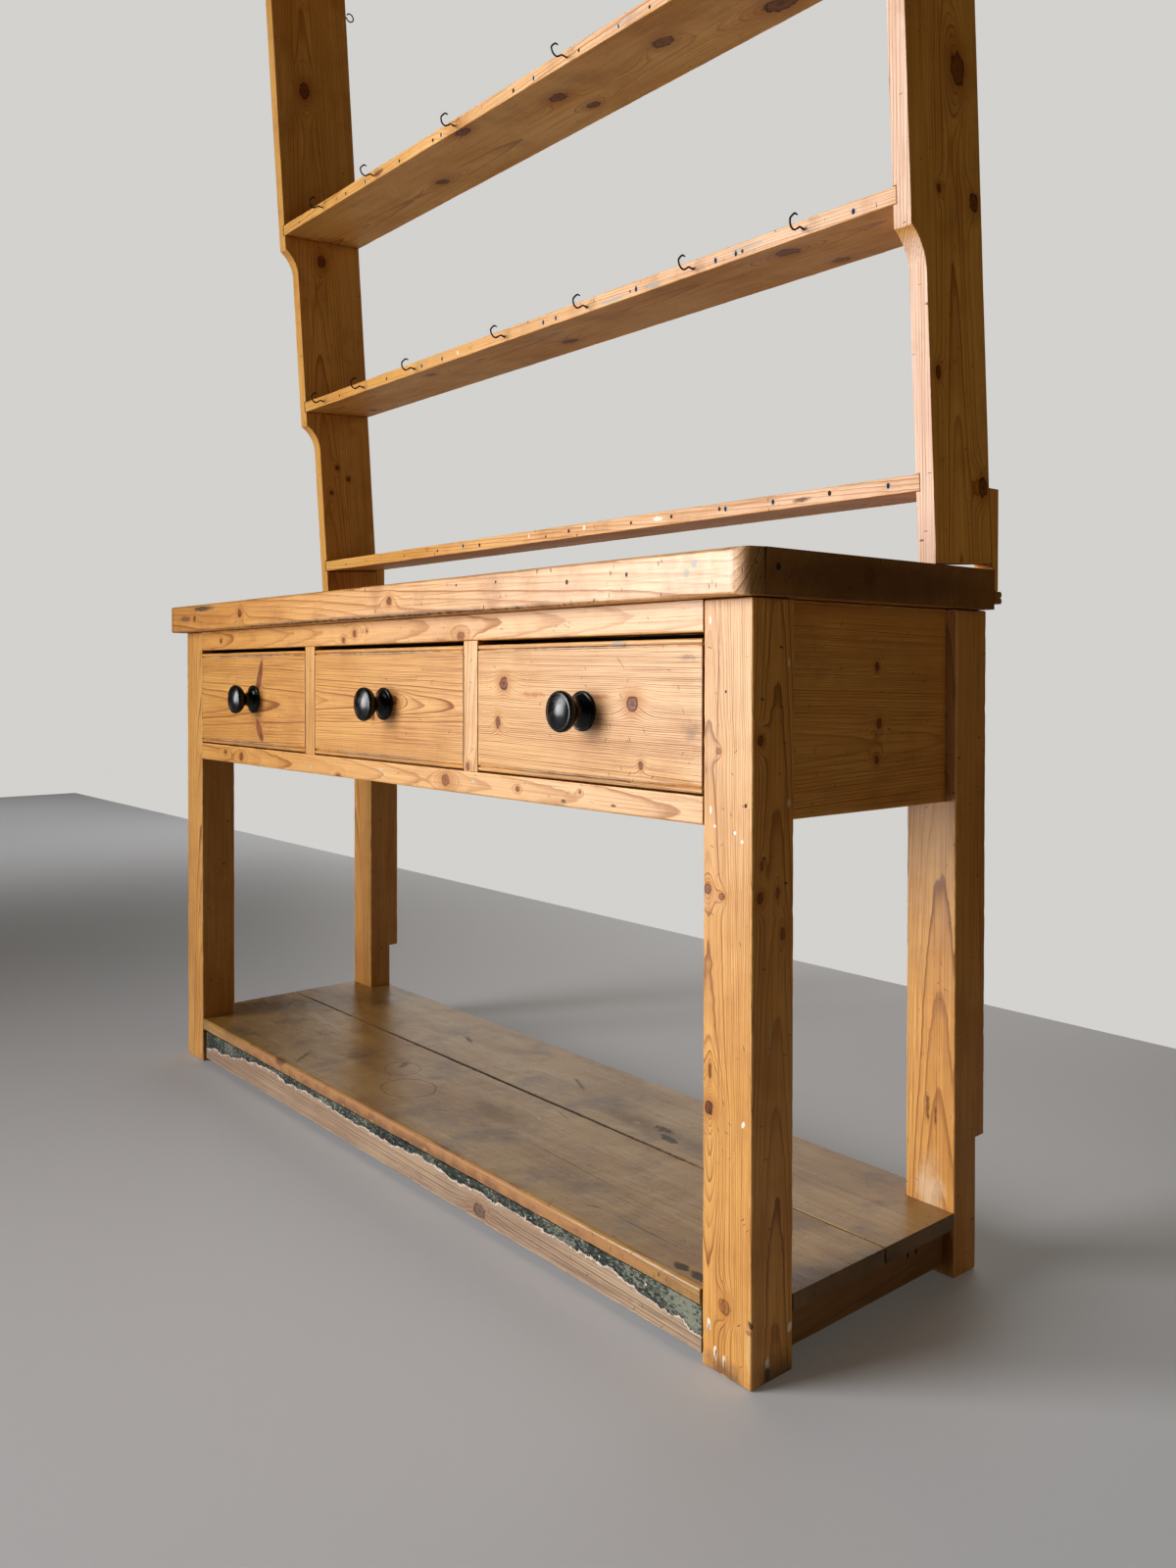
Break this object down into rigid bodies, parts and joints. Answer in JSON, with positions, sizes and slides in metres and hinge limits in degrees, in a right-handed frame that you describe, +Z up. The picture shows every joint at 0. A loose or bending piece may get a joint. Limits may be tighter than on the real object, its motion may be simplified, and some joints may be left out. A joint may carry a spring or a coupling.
{
  "type": "welsh dresser",
  "caption": "Pine dresser base with drawers over a pot board, and an open plate rack with stepped, coved sides, shelves and cup hooks.",
  "frame": {"origin": "on the floor under the middle of the whole piece", "axes": "+Z up; the drawers' fronts face -Y; +X is to the right of someone facing the drawers"},
  "size_m": [1.49, 0.4648, 2.1301],
  "materials": {
    "pine_waxed": "old pine, waxed, satin",
    "pine_dark": "old pine, unpolished and darkened",
    "pine_raw": "bare weathered pine with flaking green paint along its top",
    "black_gloss": "turned wood, ebonised, gloss",
    "iron": "dark iron wire"
  },
  "bodies": {
    "dresser": {"leg_front_left": "pine_waxed", "leg_front_right": "pine_waxed", "leg_rear_left": "pine_waxed", "leg_rear_right": "pine_waxed", "end_panel_left": "pine_waxed", "end_panel_right": "pine_waxed", "top_rail": "pine_waxed", "bottom_rail": "pine_waxed", "muntin_left": "pine_waxed", "muntin_right": "pine_waxed", "worktop": "pine_waxed", "pot_board_front": "pine_waxed", "pot_board_rear": "pine_waxed", "rack_batten": "pine_waxed", "rack_cleat_left": "pine_waxed", "rack_cleat_right": "pine_waxed", "rack_side_left": "pine_waxed", "rack_side_right": "pine_waxed", "shelf_lower": "pine_waxed", "shelf_middle": "pine_waxed", "shelf_upper": "pine_waxed", "rack_top_board": "pine_waxed", "cornice_front": "pine_waxed", "cornice_left": "pine_waxed", "cornice_right": "pine_waxed", "back_board": "pine_dark", "runner_left": "pine_dark", "runner_middle_left": "pine_dark", "runner_middle_right": "pine_dark", "runner_right": "pine_dark", "foot_rail_left": "pine_dark", "foot_rail_right": "pine_dark", "foot_rail_rear": "pine_dark", "plinth": "pine_raw", "wall_eye": "iron", "cup_hook_1": "iron", "cup_hook_2": "iron", "cup_hook_3": "iron", "cup_hook_4": "iron", "cup_hook_5": "iron", "cup_hook_6": "iron", "cup_hook_7": "iron"},
    "drawer_left": {"drawer_left_front": "pine_waxed", "drawer_left_side_left": "pine_dark", "drawer_left_side_right": "pine_dark", "drawer_left_back": "pine_dark", "drawer_left_bottom": "pine_dark", "drawer_left_knob": "black_gloss"},
    "drawer_middle": {"drawer_middle_front": "pine_waxed", "drawer_middle_side_left": "pine_dark", "drawer_middle_side_right": "pine_dark", "drawer_middle_back": "pine_dark", "drawer_middle_bottom": "pine_dark", "drawer_middle_knob": "black_gloss"},
    "drawer_right": {"drawer_right_front": "pine_waxed", "drawer_right_side_left": "pine_dark", "drawer_right_side_right": "pine_dark", "drawer_right_back": "pine_dark", "drawer_right_bottom": "pine_dark", "drawer_right_knob": "black_gloss"}
  },
  "joints": [
    {"name": "drawer_left_slide", "type": "slide", "parent": "dresser", "child": "drawer_left", "axis": [0, -1, 0], "range_m": [0, 0.3]},
    {"name": "drawer_middle_slide", "type": "slide", "parent": "dresser", "child": "drawer_middle", "axis": [0, -1, 0], "range_m": [0, 0.3]},
    {"name": "drawer_right_slide", "type": "slide", "parent": "dresser", "child": "drawer_right", "axis": [0, -1, 0], "range_m": [0, 0.3]}
  ]
}
